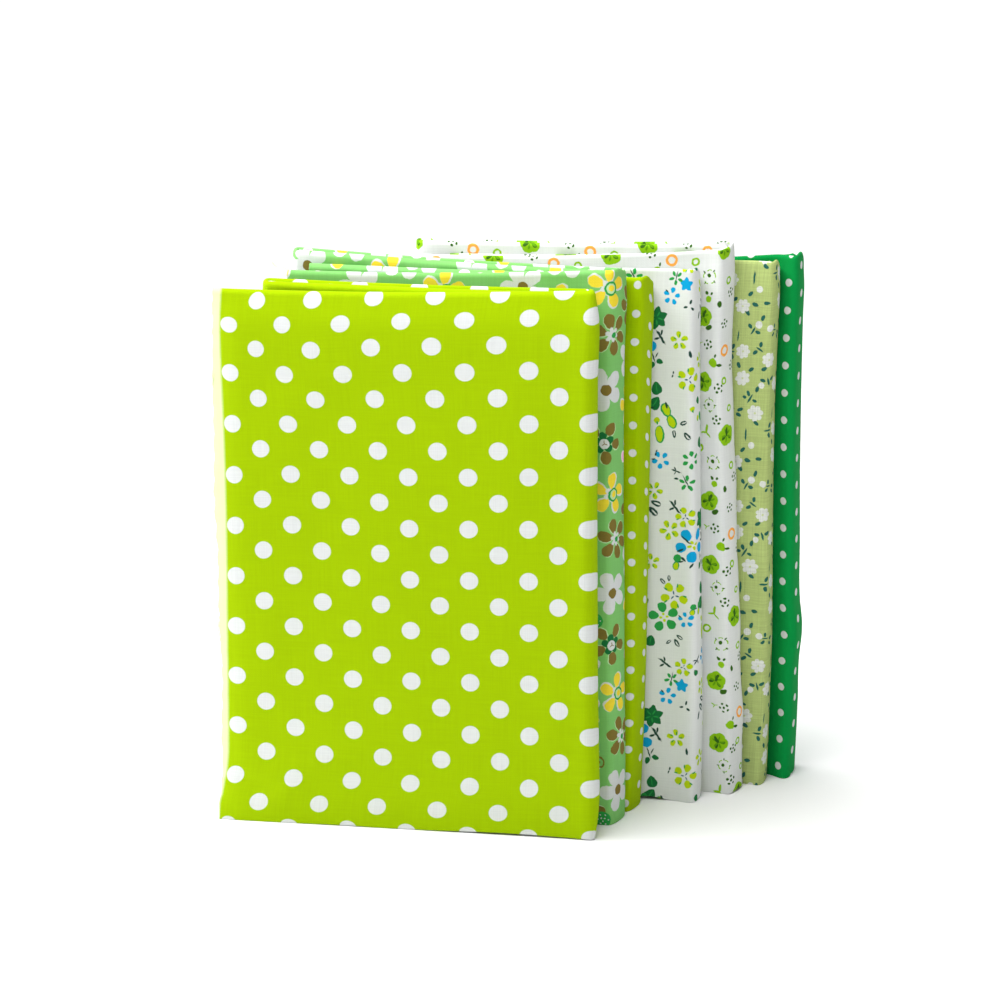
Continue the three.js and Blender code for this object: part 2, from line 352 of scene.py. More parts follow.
def folded_sheet(pack, start, sizes):
    """The mesh of one folded cloth: one sheet, folded in thirds and then back and forth."""
    line, parts = fold_line(pack)
    normal = normals_of(line)
    leaf, lines = leaf_lines(pack)
    gap = lines[1] - lines[0] - leaf
    half = (leaf - sizes.ply / MM) / 2
    profile = ply_profile(half, sizes)
    across = lengths_along(line + half * normal)
    up_cloth = lengths_along(profile)
    up_cloth -= up_cloth[FLAP_ROWS + FOOT_ROWS]
    up = profile[None, :, 1] / FULL_HEIGHT

    # Each leaf spreads towards its neighbours below its top.
    tops = np.array([TOPS[part] for part in parts])
    window = np.ones(5) / 5
    tops = np.stack([np.convolve(np.pad(column, 2, mode="edge"), window, "valid") for column in tops.T], 1)
    grow = smooth_between(profile[None, :, 1], FULL_HEIGHT - PUFF_REACH,
                          FULL_HEIGHT - CROWN_HEIGHT)
    printed = half + tops[:, :1] * gap * grow
    plain = half + tops[:, 1:2] * gap * grow
    offset = (printed - plain) / 2 + profile[None, :, 0] / half * (printed + plain) / 2

    # The outer ply of the front leaf and of the outer turn has the puff and the creases.
    in_front = np.array([part in ("front", "outer turn") for part in parts])
    face_width = across[in_front].max()
    outer_ply = smooth_between(profile[None, :, 0] / half, 0.1, 0.9)
    stands_out = relief(pack, across[:, None], np.clip(up_cloth[None, :], 0, FULL_HEIGHT), face_width)
    offset = offset + stands_out * outer_ply * in_front[:, None]

    x = line[:, None, 0] + normal[:, None, 0] * offset
    y = line[:, None, 1] + normal[:, None, 1] * offset
    front_top, rear_top = ridges_at(pack, x)
    back = np.clip(line[:, None, 1] / pack.depth, 0, 1)
    inside = np.array([part.endswith("inside") or part == "inner turn" for part in parts])[:, None]
    level = np.where(inside, np.maximum(smooth_between(back, 0.4, 0.6), pack.middle),
                     smooth_between(back, RIDGE_FRONT, RIDGE_REAR))
    drop = tops[:, 2:] * (1 - pack.middle)
    z = up * (front_top + (rear_top - front_top) * level - drop)

    hem = bell(z, HEM_KICK_HEIGHT) * smooth(1 - (x - pack.left) / HEM_KICK_WIDTH)
    front_half = line[:, None, 1] < pack.depth / 2
    x = x + pack.lean * (up - 0.5) - np.where(front_half, pack.kick, 0) * hem
    by_edge = bell(across[:, None], RAW_EDGE_WIDTH) * in_front[:, None]
    x = x + by_edge * sum(out * np.sin(z * turn + phase) for out, turn, phase in RAW_EDGE_WAVES)
    by_turn = smooth_between(line[:, None, 0], pack.right - EDGE_STRETCH[0], pack.right - EDGE_STRETCH[1])
    x = x + np.interp(z, EDGE_HEIGHTS, EDGE_OUT[pack.node]) * by_turn
    for height, reach, out in EDGE_BUMPS.get(pack.node, ()):
        x = x + out * bell(z - height, reach) * by_turn
    by_raw_edge = 1 - smooth_between(across[:, None], 0, RAW_EDGE_REACH)
    raw_edge_out = RAW_EDGE_OUT.get(pack.node, (0,) * len(EDGE_HEIGHTS))
    reach_left = np.interp(z, EDGE_HEIGHTS, raw_edge_out) * by_raw_edge
    x = x - reach_left * in_front[:, None]
    y = y - ROW_BOW * np.sin(math.pi * up)
    y = y - FOOT_LEAN * np.clip(1 - z / FOOT_REACH, 0, 1) ** 2
    y = y + TOP_LEAN * np.clip((z - FULL_HEIGHT + TOP_REACH) / TOP_REACH, 0, 1) ** 2
    for place, reach, lift in HEM_LIFTS.get(pack.node, ()):
        gives = np.clip(1 - z / HEM_LIFT_HEIGHT, 0, 1) ** 2
        z = z + lift * bell(across[:, None] - place, reach) * gives * in_front[:, None]
    places = np.stack([x + start[0], y + start[1], z], -1)
    columns, rows = places.shape[:2]
    index = np.arange(columns * rows).reshape(columns, rows)
    quads = np.stack([index[:-1, :-1], index[1:, :-1], index[1:, 1:], index[:-1, 1:]], -1).reshape(-1, 4)
    across, up_cloth = np.broadcast_arrays(across[:, None], up_cloth[None, :])
    printed_across, printed_up = across - PRINTS[pack.slot].lean * up_cloth - reach_left, up_cloth
    for middle, height, reach, reach_up, right, above in PULLS.get(pack.node, ()):
        pull = bell(across - middle, reach) * bell(up_cloth - height, reach_up)
        printed_across, printed_up = printed_across - right * pull, printed_up - above * pull
    cloth = np.stack([printed_across, printed_up], -1).reshape(-1, 2)
    return places.reshape(-1, 3) * MM, quads, cloth * MM


def clear_selection():
    for each in bpy.context.selected_objects:
        each.select_set(False)


def thread_mesh(points, start, pack):
    """A loose yarn as a thin tube of five sides along points."""
    curve = np.array([(pack.left + start[0] + x, start[1] - out, z) for x, out, z in points])
    fine = np.linspace(0, len(curve) - 1, 6 * len(curve))
    path = np.stack([np.interp(fine, range(len(curve)), curve[:, i]) for i in range(3)], 1)
    for _ in range(3):
        path[1:-1] = (path[:-2] + 2 * path[1:-1] + path[2:]) / 4
    angles = np.linspace(0, 2 * math.pi, 5, endpoint=False)
    ring = THREAD_RADIUS * np.stack([np.cos(angles), np.sin(angles), 0.5 * np.sin(angles)], 1)
    places = (path[:, None] + ring[None]).reshape(-1, 3)
    index = np.arange(len(places)).reshape(-1, 5)
    ahead = np.roll(index, -1, 1)
    quads = np.stack([index[:-1], ahead[:-1], ahead[1:], index[1:]], -1).reshape(-1, 4)
    cloth = np.tile([0.1, points[0][2]], (len(places), 1))
    return places * MM, quads, cloth * MM


def add_piece(name, places, quads, cloth):
    mesh = bpy.data.meshes.new(name)
    mesh.from_pydata(places.tolist(), [], quads.tolist())
    lay_print(mesh, cloth)
    piece = bpy.data.objects.new(name, mesh)
    bpy.context.scene.collection.objects.link(piece)
    return piece


def add_cloth(pack, start, sizes):
    piece = add_piece(pack.node + "_cloth", *folded_sheet(pack, start, sizes))
    clear_selection()
    bpy.context.view_layer.objects.active = piece
    piece.select_set(True)
    thickness = piece.modifiers.new("Ply", "SOLIDIFY")
    thickness.thickness = sizes.ply
    thickness.offset = 0
    bpy.ops.object.modifier_apply(modifier=thickness.name)
    for points in THREADS.get(pack.node, ()):
        add_piece("Yarn", *thread_mesh(points, start, pack)).select_set(True)
    if len(bpy.context.selected_objects) > 1:
        bpy.ops.object.join()
    bpy.ops.object.shade_smooth_by_angle(angle=math.radians(60))
    piece.select_set(False)
    return piece


def lay_print(mesh, cloth):
    """Gives each vertex its cloth coordinates: across from the raw edge, and up from the foot."""
    print_map = mesh.uv_layers.new(name="Cloth")
    corner = np.zeros(len(mesh.loops), int)
    mesh.loops.foreach_get("vertex_index", corner)
    print_map.uv.foreach_set("vector", cloth[corner].astype(np.float32).ravel())


# Prints. A stamp is a ring of alike petals, or one spot, in one ink. Its columns:
# ink, petals; reach: from the middle to a petal's middle; length, width: half of the petal's size
# taper: how much wider the outer end is than the inner one; turn: degrees; x, y: the ring's middle
Stamp = namedtuple("Stamp", "ink petals reach length width taper turn x y", defaults=(0, 0, 0, 0))


def spot(ink, size, x=0, y=0):
    return Stamp(ink, 1, 0, size, size, 0, 0, x, y)


MOTIFS = {
    "dot": [spot("white", 1)],
    # Sage print, flowers about 12 mm across
    "yellow_flower": [
        ("white", 5, 3.9, 2.6, 1.85, 0.3, 78), ("yellow", 5, 3.9, 2.35, 1.6, 0.3, 82),
        ("white", 5, 1, 1.4, 0.8, 0.2, 54), spot("green", 2.1, 0.9, -0.3),
        spot("pale_sage", 1.5, 0.9, -0.3), spot("yellow", 0.95, 1.1, -0.2)],
    "brown_flower": [
        ("pale_sage", 6, 3.9, 2.45, 1.65, 0.2, 95), ("brown", 6, 4.1, 2.3, 1.65, 0.15, 92),
        ("white", 6, 1, 1.3, 0.6, 0.2, 30), spot("green", 0.85, 0.5, -0.4)],
    "white_flower": [
        ("white", 5, 3.6, 3, 2.1, 0.25, 40), spot("white", 2.3), spot("brown", 1.6, 0.2, -0.2)],
    "double_flower": [
        ("pale_sage", 5, 4.3, 2.1, 1.6, 0.2, 56), ("brown", 5, 4.4, 2, 1.6, 0.15, 60),
        ("dark_green", 5, 1.9, 1.4, 1.1, 0.1, 95), spot("white", 1.5, 0.1, -0.3),
        ("brown", 3, 0.4, 0.5, 0.16, 0, 95, 0.2, -0.2)],
    "pink_flower": [
        ("pale_pink", 5, 3.4, 2.4, 1.7, 0.35, 90), ("pink", 5, 3.5, 2.05, 1.4, 0.35, 90),
        ("white", 5, 0.9, 1.2, 0.6, 0.2, 50), spot("dark_green", 0.9, 0.3, 0.3)],
    "berry": [spot("green", 2.3), ("white", 6, 1.5, 0.22, 0.22), ("white", 3, 0.6, 0.22, 0.22, 0, 30)],
    "brown_ring": [spot("brown", 1.9), spot("sage", 1.4), spot("brown", 0.6)],
    # White print with blossoms and sprigs
    "blue_star": [("blue", 5, 0.9, 1, 0.75, -0.4, 90), spot("blue", 0.9)],
    "blue_floret": [("blue", 5, 1.6, 0.75, 0.58, 0.2, 80), ("ink_green", 1, 1.9, 0.5, 0.2, 0, 135)],
    "blue_blossom": [
        ("blue", 5, 3.3, 1.6, 1.4, 0.15, 50), ("lime", 4, 0.9, 0.6, 0.4, 0, 20),
        ("ink_green", 1, 2.4, 1.7, 0.25, 0, 140), ("ink_green", 1, 3.8, 1.1, 0.3, 0, 205)],
    "lime_blossom": [("lime", 5, 1.65, 0.95, 0.68, 0.2, 96), ("green", 5, 1.35, 0.5, 0.17, 0, 84)],
    "lime_cluster": [
        ("lime", 5, 2.3, 1.1, 0.95, 0.1, 75), ("green", 5, 2.6, 0.5, 0.2, 0, 95),
        ("ink_blue", 3, 0.7, 0.45, 0.18, 0, 60)],
    "lime_butterfly": [
        ("green", 2, 1.7, 2, 1.35, 0.1), ("lime", 2, 1.75, 1.6, 0.95, 0.1, -4),
        ("ink_green", 1, 2.9, 0.9, 0.35, 0, 165)],
    "oval_bud": [("green", 1, 0, 2.5, 1.35), ("lime", 1, 0, 2.15, 1, 0, 0, 0.1, 0.15)],
    "lime_bud": [
        ("green", 1, 1.1, 1.2, 1.15), ("green", 1, -1.1, 1.3, 1), ("lime", 1, -1.2, 1, 0.7),
        ("ink_green", 1, 1.3, 0.8, 0.25, 0, -70)],
    "lime_spot": [spot("lime", 0.95), ("green", 1, 0.8, 0.5, 0.3, 0, 280)],
    "green_blossom": [("green", 5, 2.9, 1.45, 1.25, 0.2, 100), ("lime", 4, 0.95, 0.45, 0.4, 0, 10)],
    "green_floret": [("green", 6, 1.75, 0.8, 0.52, 0.2, 90)],
    "green_star": [
        ("dark_green", 6, 1.7, 1.35, 1, -0.45, 80), spot("dark_green", 1.9),
        ("green", 5, 1.1, 0.7, 0.2, 0, 60)],
    "green_spray": [("green", 5, 1.3, 0.75, 0.4, 0, 100), ("ink_green", 1, 0.5, 1.5, 0.14, 0, 60)],
    "heart_leaf": [("dark_green", 1, 0, 1.8, 1.45, -0.35), ("green", 1, 0.1, 1.3, 0.14)],
    "twig": [
        ("ink_green", 1, 0, 2.6, 0.36, 0, 125), ("ink_green", 1, 1.4, 0.9, 0.34, 0, 80),
        ("ink_green", 1, 1.3, 0.9, 0.36, 0, 200), ("ink_green", 2, 1.5, 0.7, 0.36, 0, 300)],
    "branch": [
        ("ink_green", 1, 0.9, 2, 0.2, 0, 110), ("ink_green", 1, 1.6, 0.9, 0.2, 0, 60),
        ("dark_green", 1, 1.9, 1.1, 0.75, -0.2, -20), ("dark_green", 1, 1.9, 1.1, 0.8, -0.2, 250)],
    "dark_seed": [("ink_green", 1, 0, 1.1, 0.42)],
    "twin_seeds": [("ink_green", 2, 0.55, 0.5, 0.26, 0, 75)],
    "three_seeds": [("ink_green", 3, 1.25, 0.65, 0.34, 0, 75)],
    "open_leaf": [("ink_green", 1, 0, 1.35, 0.72, 0.2), ("cloth_white", 1, 0.35, 0.85, 0.22)],
    # White print with roses
    "rose": [
        ("rose_green", 5, 1.2, 1.9, 1.9, 0, 10), spot("rose_green", 2.6),
        ("rose_dark", 3, 1.3, 0.95, 0.4, 0.4, 65), ("rose_mid", 5, 1.2, 0.8, 0.3, 0, 20),
        ("rose_dark", 1, 0.8, 1.1, 0.5, 0, 70)],
    "seed_flower": [("rose_dark", 5, 1.15, 0.32, 0.4, 0, 90), spot("rose_dark", 0.38)],
    "small_ring": [spot("rose_green", 1.2), spot("cloth_white", 0.62)],
    "orange_ring": [spot("orange", 1.8), spot("cloth_white", 1)],
    "dark_leaf": [("rose_dark", 1, 0, 1, 0.62, -0.15)],
    "curl": [
        spot("rose_dark", 0.6, -0.2, 0.4), ("rose_green", 5, 1.9, 0.3, 0.75, 0, 20),
        ("cloth_white", 5, 1.6, 0.3, 0.5, 0, 20), ("rose_dark", 4, 2.2, 0.45, 0.2, 0, 50)],
    "trio": [
        ("rose_dark", 1, 1.3, 0.65, 0.5, -0.3, 125), ("rose_dark", 1, 1.3, 0.5, 0.36, 0, 40),
        spot("rose_green", 1, 0, -0.8)],
    "tulip": [
        ("rose_green", 1, 0, 1.5, 1.25, 0.3, 130), ("rose_dark", 1, 2, 0.95, 0.42, 0, -10, 0, -0.4),
        ("rose_dark", 1, 2.3, 0.6, 0.3, 0, 70)],
    "sprout": [
        ("rose_green", 1, 1.2, 1.2, 0.45, 0, 80), ("rose_green", 1, 0.8, 1.1, 0.35, 0, 180),
        ("rose_green", 1, 1, 1.2, 0.28, 0, -50)],
    # Straw print
    "blossom": [
        ("print_white", 7, 1.45, 0.85, 0.72, 0.1), spot("print_white", 1.5), spot("straw_shade", 0.32)],
    "little_blossom": [spot("print_white", 0.95)],
    "sprig": [
        ("teal", 1, 0, 1.3, 0.32, 0, 60), ("teal", 1, 1.75, 0.9, 0.55, 0, 125),
        ("teal", 1, 1.6, 0.9, 0.55, 0, -12)],
    "sprig_big": [
        ("teal", 1, 0, 1.6, 0.34, 0, 60), ("teal", 1, 1.8, 0.9, 0.56, 0, 110),
        ("teal", 1, 1.9, 0.7, 0.5, 0, 165), ("teal", 1, 1.7, 0.8, 0.48, 0, -20)],
    "teal_leaf": [("teal", 1, 0, 0.98, 0.58, -0.1)],
    "teal_stem": [("teal", 1, 0, 1.9, 0.32, 0, 95)],
}

# Where the motifs of a print lie in one repeat: x from the raw edge, y from the foot of the front ply.
# A program worked out those of the white and straw prints, and the large dots' spacing, from the photo.
Place = namedtuple("Place", "motif x y turn size", defaults=(0, 1))
# A print's ground, its repeat's width and height, how far each repeat to the right is raised, how far the
# print leans to the right for each millimetre up, and its places
Print = namedtuple("Print", "ground width height drop lean places")

PRINTS = {
    "lime_large_dot_cotton": Print("lime_ground", 8.81, 15.94, 8.1, 0, [("dot", 56.5, 79.3, 0, 2.7)]),
    "lime_small_dot_cotton": Print("lime_ground", 6.6, 8.55, 4.275, 0, [("dot", 95.7, 156.1, 0, 1.2)]),
    "green_small_dot_cotton": Print("emerald_ground", 6.4, 8.63, 4.315, 0, [("dot", 96.3, 158.7, 0, 1.2)]),
    "sage_flower_cotton": Print("sage", 24, 61.2, 30.6, -0.036, [
        ("yellow_flower", 100.1, 39.4), ("brown_flower", 101.5, 25.6, 10), ("white_flower", 99.2, 9.6),
        ("double_flower", 98.3, 55), ("pink_flower", 112, 50, 20), ("brown_flower", 112, 34, 30),
        ("white_flower", 112, 18, 40), ("berry", 93.5, 62.4), ("brown_ring", 92.6, 18.6),
        ("yellow_flower", 112, 4, 25)]),
    "white_sprig_cotton": Print("cloth_white", 17.4, 125.6, 62.8, 0.014, [
        ("blue_star", 94.8, 36.9, 0, 1.15), ("green_spray", 91.5, 38.6, 20, 1.1),
        ("blue_floret", 90.3, 33.1, 0, 1.15), ("three_seeds", 96.1, 30.4),
        ("dark_seed", 100.8, 27, 70, 1.1), ("green_star", 85.6, 26.4, 0, 1.2), ("twig", 87.1, 20.5),
        ("lime_blossom", 93.2, 19.7, 0, 1.15), ("dark_seed", 96.8, 15.7, 100), ("branch", 85.1, 13.6),
        ("lime_cluster", 96.5, 7.9, 0, 1.15), ("twin_seeds", 91.3, 9.2), ("heart_leaf", 86, 4.8, 100, 1.1),
        ("heart_leaf", 85.5, 0.2, 60, 1.21), ("lime_butterfly", 90.1, 122, -60, 1.15),
        ("oval_bud", 87.2, 116.2, 95, 1.1), ("lime_spot", 86.2, 120.5),
        ("heart_leaf", 100.7, 0.7, -60, 0.66), ("lime_spot", 97.6, 124.4, 0, 0.9),
        ("lime_spot", 100.6, 121, 0, 0.9), ("open_leaf", 94.9, 120, 20, 0.9),
        ("open_leaf", 91.9, 116.4, 95, 0.9), ("open_leaf", 96.1, 116.1, -50),
        ("blue_floret", 87.6, 108.2, 40, 1.21), ("twin_seeds", 86.1, 110.4),
        ("green_floret", 97.4, 108.7, 0, 1.12), ("twig", 92.7, 105, 40, 0.6),
        ("dark_seed", 92.7, 102.6, 0, 0.7), ("green_spray", 96.2, 101.4, 60, 1.3),
        ("lime_blossom", 85.6, 98.6, 40, 1.09), ("open_leaf", 86.2, 94.6, -20, 1.2),
        ("open_leaf", 85.4, 92, -45, 1.3), ("twig", 92.4, 93.7, 10), ("lime_cluster", 95.8, 90.7, 30, 0.98),
        ("lime_blossom", 90.6, 86.3, 20, 1.26), ("blue_blossom", 98, 82, 0, 1.12),
        ("lime_bud", 93, 76.4, 80, 1.1), ("dark_seed", 95.2, 77.5, -40, 0.9),
        ("dark_seed", 97.6, 75.6, 60, 0.8), ("lime_blossom", 84.9, 76, 0, 1.03),
        ("lime_cluster", 92.3, 65.6, 50, 1.32), ("open_leaf", 88.5, 70, -50, 0.8),
        ("open_leaf", 90.5, 71, 90, 0.7), ("green_blossom", 89, 58.5, 0, 1.1),
        ("open_leaf", 94, 52.4, -30, 0.8), ("open_leaf", 90.5, 50.6, 40, 0.7),
        ("open_leaf", 93.1, 50.5, -60), ("blue_floret", 96, 58.2, 20, 1.09),
        ("lime_bud", 98.1, 61.6, 80, 0.77), ("lime_bud", 100.9, 61.5, 80, 0.88),
        ("heart_leaf", 84.9, 50.7, 80, 0.99), ("twig", 89.5, 43.8, 20, 0.9), ("twig", 99.8, 45.2, 100, 0.7),
        ("lime_cluster", 95.3, 42.9, 10, 0.86), ("heart_leaf", 99.2, 41.3, 120, 0.55)]),
    "white_rose_cotton": Print("cloth_white", 17.6, 56.1, 28.05, -0.018, [
        ("rose", 87.3, 35.1), ("dark_leaf", 89.4, 31.8, 20, 1.2), ("rose", 87.1, 15.4, 60),
        ("rose", 94.8, 54.8, 20, 1.05), ("curl", 89.3, 46.9), ("small_ring", 96.3, 45.1),
        ("trio", 89.2, 41.2), ("dark_leaf", 92.7, 38.8, 100), ("seed_flower", 97.6, 41.2),
        ("seed_flower", 94.8, 32.5), ("seed_flower", 89.1, 26.7, 20, 1.1), ("orange_ring", 95.2, 24.3),
        ("tulip", 90.9, 21.1), ("seed_flower", 99, 18.6), ("small_ring", 94.6, 15.2),
        ("seed_flower", 92.4, 13.4, 10, 1.1), ("seed_flower", 91.1, 3.8, 0, 1.1), ("sprout", 87.3, 0.1),
        ("small_ring", 84.8, 51.5, 0, 1.1), ("sprout", 86.2, 27.2, 60, 0.5), ("curl", 88.9, 8.3, 40, 0.9),
        ("small_ring", 96.5, 6.5, 0, 0.9)]),
    "straw_blossom_cotton": Print("straw", 13.4, 49, 24.5, 0.018, [
        ("blossom", 86.1, 40.8), ("blossom", 86.4, 32.4, 30, 1.05), ("blossom", 94.7, 38.5),
        ("blossom", 91.1, 21.5, 10, 1.15), ("little_blossom", 92.7, 30.4),
        ("little_blossom", 90.3, 11.3, 0, 1.1), ("little_blossom", 90.8, 0.3, 0, 1.2),
        ("little_blossom", 94.5, 48.3, 0, 1.1), ("sprig", 89, 47.3), ("sprig", 91.5, 41.6, 90),
        ("sprig", 94.8, 31.7, 45), ("sprig_big", 89.2, 26), ("sprig", 95.5, 16.2, -60),
        ("sprig", 96.5, 47.5, 110, 0.8), ("teal_leaf", 84.9, 36.5, -60), ("teal_leaf", 89.1, 35.2, 35),
        ("teal_leaf", 93.3, 35.6, 30), ("teal_leaf", 91.4, 29.1, 75), ("teal_leaf", 86.1, 22.5, 20),
        ("teal_leaf", 85.6, 20.9, -30), ("teal_leaf", 91.6, 18.4, -35), ("teal_stem", 88.3, 14.7, -5),
        ("teal_leaf", 87.5, 9.8, 50), ("teal_leaf", 89.2, 6.5, -15, 1.1), ("teal_leaf", 92.9, 7.2),
        ("teal_leaf", 86.9, 3.9, -60, 1.1), ("teal_leaf", 92, 2.5, 70), ("teal_stem", 97.7, 21.1, -10, 0.8),
        ("blossom", 85.3, 5.9, 15)]),
}

# Where the cloth is pulled out of true, so that its print moves: across, up; reach across, up; right, up.
# How far the front pack's pulls go was fitted by a program to its dots in the photo.
PULLS = {
    "pack_1_lime_large_dots": [
        (2, 110, 8, 55, 1.1, -0.6), (26, 158, 16, 24, -1.75, -1.5), (56, 158, 24, 26, -2.0, 0),
        (96, 145, 16, 40, 0.6, 0.3), (22, 92, 22, 40, 0.4, 0.6), (10, 2, 20, 12, -1.1, -0.8),
        (44, 2, 30, 12, -2.5, -0.6), (86, 2, 24, 12, -0.45, -1.3), (6, 166, 10, 14, 0.3, -2.2),
        (70, 20, 50, 18, -0.1, -1.0), (60, 168, 60, 8, 1.0, -1.8)],
    "pack_3_lime_small_dots": [(100, 30, 30, 60, 0.7, 0)],
    "pack_7_green_small_dots": [(100, 158, 30, 40, 0.5, 0)],
}

INKS = {
    "lime_ground": "#99b901", "emerald_ground": "#0a8f42", "sage": "#7dbe6a", "cloth_white": "#dcdfdc",
    "straw": "#aebf76", "white": "#d2d5d4", "print_white": "#d9dcd5", "yellow": "#ecd33a",
    "brown": "#7d6c33", "green": "#2f9a49", "dark_green": "#1d6e3a", "pale_sage": "#b9dba6",
    "pink": "#f0b4d4", "pale_pink": "#f6e4ee", "lime": "#b6cf12", "blue": "#109fd6",
    "ink_green": "#24453b", "ink_blue": "#2a5a70", "rose_green": "#88bd18", "rose_dark": "#37621c",
    "rose_mid": "#5f9a12", "orange": "#f2a54a", "teal": "#2b6257", "straw_shade": "#c6d09a",
}
INK_EDGE = 0.14  # width of the soft edge of a printed spot


def add_node(tree, kind, inputs=(), **settings):
    """Adds a shader node with its settings. inputs pairs a socket's name or number with a value, or with a
    socket to link."""
    node = tree.nodes.new("ShaderNode" + kind)
    for name, value in settings.items():
        setattr(node, name, value)
    for key, value in dict(inputs).items():
        if isinstance(value, bpy.types.NodeSocket):
            tree.links.new(value, node.inputs[key])
        else:
            node.inputs[key].default_value = value
    return node


RIGHT, UP = (1.0, 0.0, 0.0), (0.0, 1.0, 0.0)
# The steps from a place on the cloth to its place in the nearest petal: name, node, operation and inputs.
# Part of a vector is read as a dot product, because a Separate XYZ node would keep all three parts in the
# renderer's small store, which a print of a hundred stamps overfills.
PETAL_STEPS = (
    # The nearest repeat: count the columns, go back by as many steps, then wrap up and down.
    ("apart", "VectorMath", "SUBTRACT", {0: "Cloth", 1: "Centre"}),
    ("apart right", "VectorMath", "DOT_PRODUCT", {0: "apart", 1: RIGHT}),
    ("step right", "VectorMath", "DOT_PRODUCT", {0: "Step", 1: RIGHT}),
    ("columns", "Math", "DIVIDE", {0: "apart right", 1: "step right"}),
    ("column", "Math", "ROUND", {0: "columns"}),
    ("back", "VectorMath", "SCALE", {0: "Step", 3: "column"}),
    ("half below", "VectorMath", "SCALE", {0: "Half repeat", 3: -1}),
    ("in column", "VectorMath", "SUBTRACT", {0: "apart", 1: "back"}),
    ("near", "VectorMath", "WRAP", {0: "in column", 1: "Half repeat", 2: "half below"}),
    # The nearest petal: the angle is wrapped into one petal's sector.
    ("distance", "VectorMath", "LENGTH", {0: "near"}),
    ("near up", "VectorMath", "DOT_PRODUCT", {0: "near", 1: UP}),
    ("near right", "VectorMath", "DOT_PRODUCT", {0: "near", 1: RIGHT}),
    ("bearing", "Math", "ARCTAN2", {0: "near up", 1: "near right"}),
    ("turned", "Math", "SUBTRACT", {0: "bearing", 1: "Turn"}),
    ("sector start", "Math", "MULTIPLY", {0: "Sector", 1: -1.0}),
    ("angle", "Math", "WRAP", {0: "turned", 1: "Sector", 2: "sector start"}),
    ("cosine", "Math", "COSINE", {0: "angle"}),
    ("outward", "Math", "MULTIPLY", {0: "distance", 1: "cosine"}),
    ("sine", "Math", "SINE", {0: "angle"}),
    ("aside", "Math", "MULTIPLY", {0: "distance", 1: "sine"}),
    # The place as shares of half the petal's length and width
    ("past reach", "Math", "SUBTRACT", {0: "outward", 1: "Reach"}),
    ("along", "Math", "DIVIDE", {0: "past reach", 1: "Length"}),
    ("widening", "Math", "MULTIPLY_ADD", {0: "along", 1: "Taper", 2: 1.0}),
    ("spread", "Math", "MULTIPLY", {0: "Width", 1: "widening"}),
    ("across", "Math", "DIVIDE", {0: "aside", 1: "spread"}),
)


def stamp_group():
    """A node group that gives 1 inside one stamp's petals and 0 outside, at every repeat of the print."""
    found = bpy.data.node_groups.get("Print stamp")
    if found:
        return found
    tree = bpy.data.node_groups.new("Print stamp", "ShaderNodeTree")
    vectors = ("Cloth", "Centre", "Step", "Half repeat")
    for name in (*vectors, "Turn", "Sector", "Reach", "Length", "Width", "Taper"):
        kind = "NodeSocketVector" if name in vectors else "NodeSocketFloat"
        tree.interface.new_socket(name, in_out="INPUT", socket_type=kind)
    tree.interface.new_socket("Mask", in_out="OUTPUT", socket_type="NodeSocketFloat")
    made = {socket.name: socket for socket in tree.nodes.new("NodeGroupInput").outputs}
    for name, kind, operation, given in PETAL_STEPS:
        inputs = {key: made[value] if isinstance(value, str) else value for key, value in given.items()}
        node = add_node(tree, kind, inputs, operation=operation)
        made[name] = node.outputs[1 if operation in ("DOT_PRODUCT", "LENGTH") else 0]
    flat = add_node(tree, "CombineXYZ", {0: made["along"], 1: made["across"]}).outputs[0]
    off = add_node(tree, "VectorMath", {0: flat}, operation="LENGTH").outputs[1]
    inside = add_node(tree, "Math", {0: 1.0, 1: off}, operation="SUBTRACT").outputs[0]
    inside = add_node(tree, "Math", {0: inside, 1: made["Width"]}, operation="MULTIPLY").outputs[0]
    mask = add_node(tree, "Math", {0: inside, 1: 1 / INK_EDGE, 2: 0.5},
                    operation="MULTIPLY_ADD", use_clamp=True).outputs[0]
    tree.links.new(mask, tree.nodes.new("NodeGroupOutput").inputs[0])
    return tree


def printed_colour(tree, cloth, design):
    """The colour of a print over cloth, whose coordinates are millimetres. Each stamp is laid over the ones
    before."""
    colour = add_node(tree, "RGB")
    colour.outputs[0].default_value = (*srgb(INKS[design.ground]), 1)
    colour = colour.outputs[0]
    group = stamp_group()
    for place in (Place(*row) for row in design.places):
        turn = math.radians(place.turn)
        for stamp in (Stamp(*row) for row in MOTIFS[place.motif]):
            x = place.x + place.size * (stamp.x * math.cos(turn) - stamp.y * math.sin(turn))
            y = place.y + place.size * (stamp.x * math.sin(turn) + stamp.y * math.cos(turn))
            mask = add_node(tree, "Group", {
                "Centre": (x, y, 0), "Step": (design.width, design.drop, 0),
                "Half repeat": (1000, design.height / 2, 1000), "Turn": turn + math.radians(stamp.turn),
                "Sector": math.pi / stamp.petals, "Reach": stamp.reach * place.size,
                "Length": stamp.length * place.size, "Width": stamp.width * place.size,
                "Taper": stamp.taper, "Cloth": cloth}, node_tree=group)
            ink = (*srgb(INKS[stamp.ink]), 1)
            colour = add_node(tree, "Mix", {0: mask.outputs[0], 6: colour, 7: ink},
                              data_type="RGBA").outputs[2]
    return colour


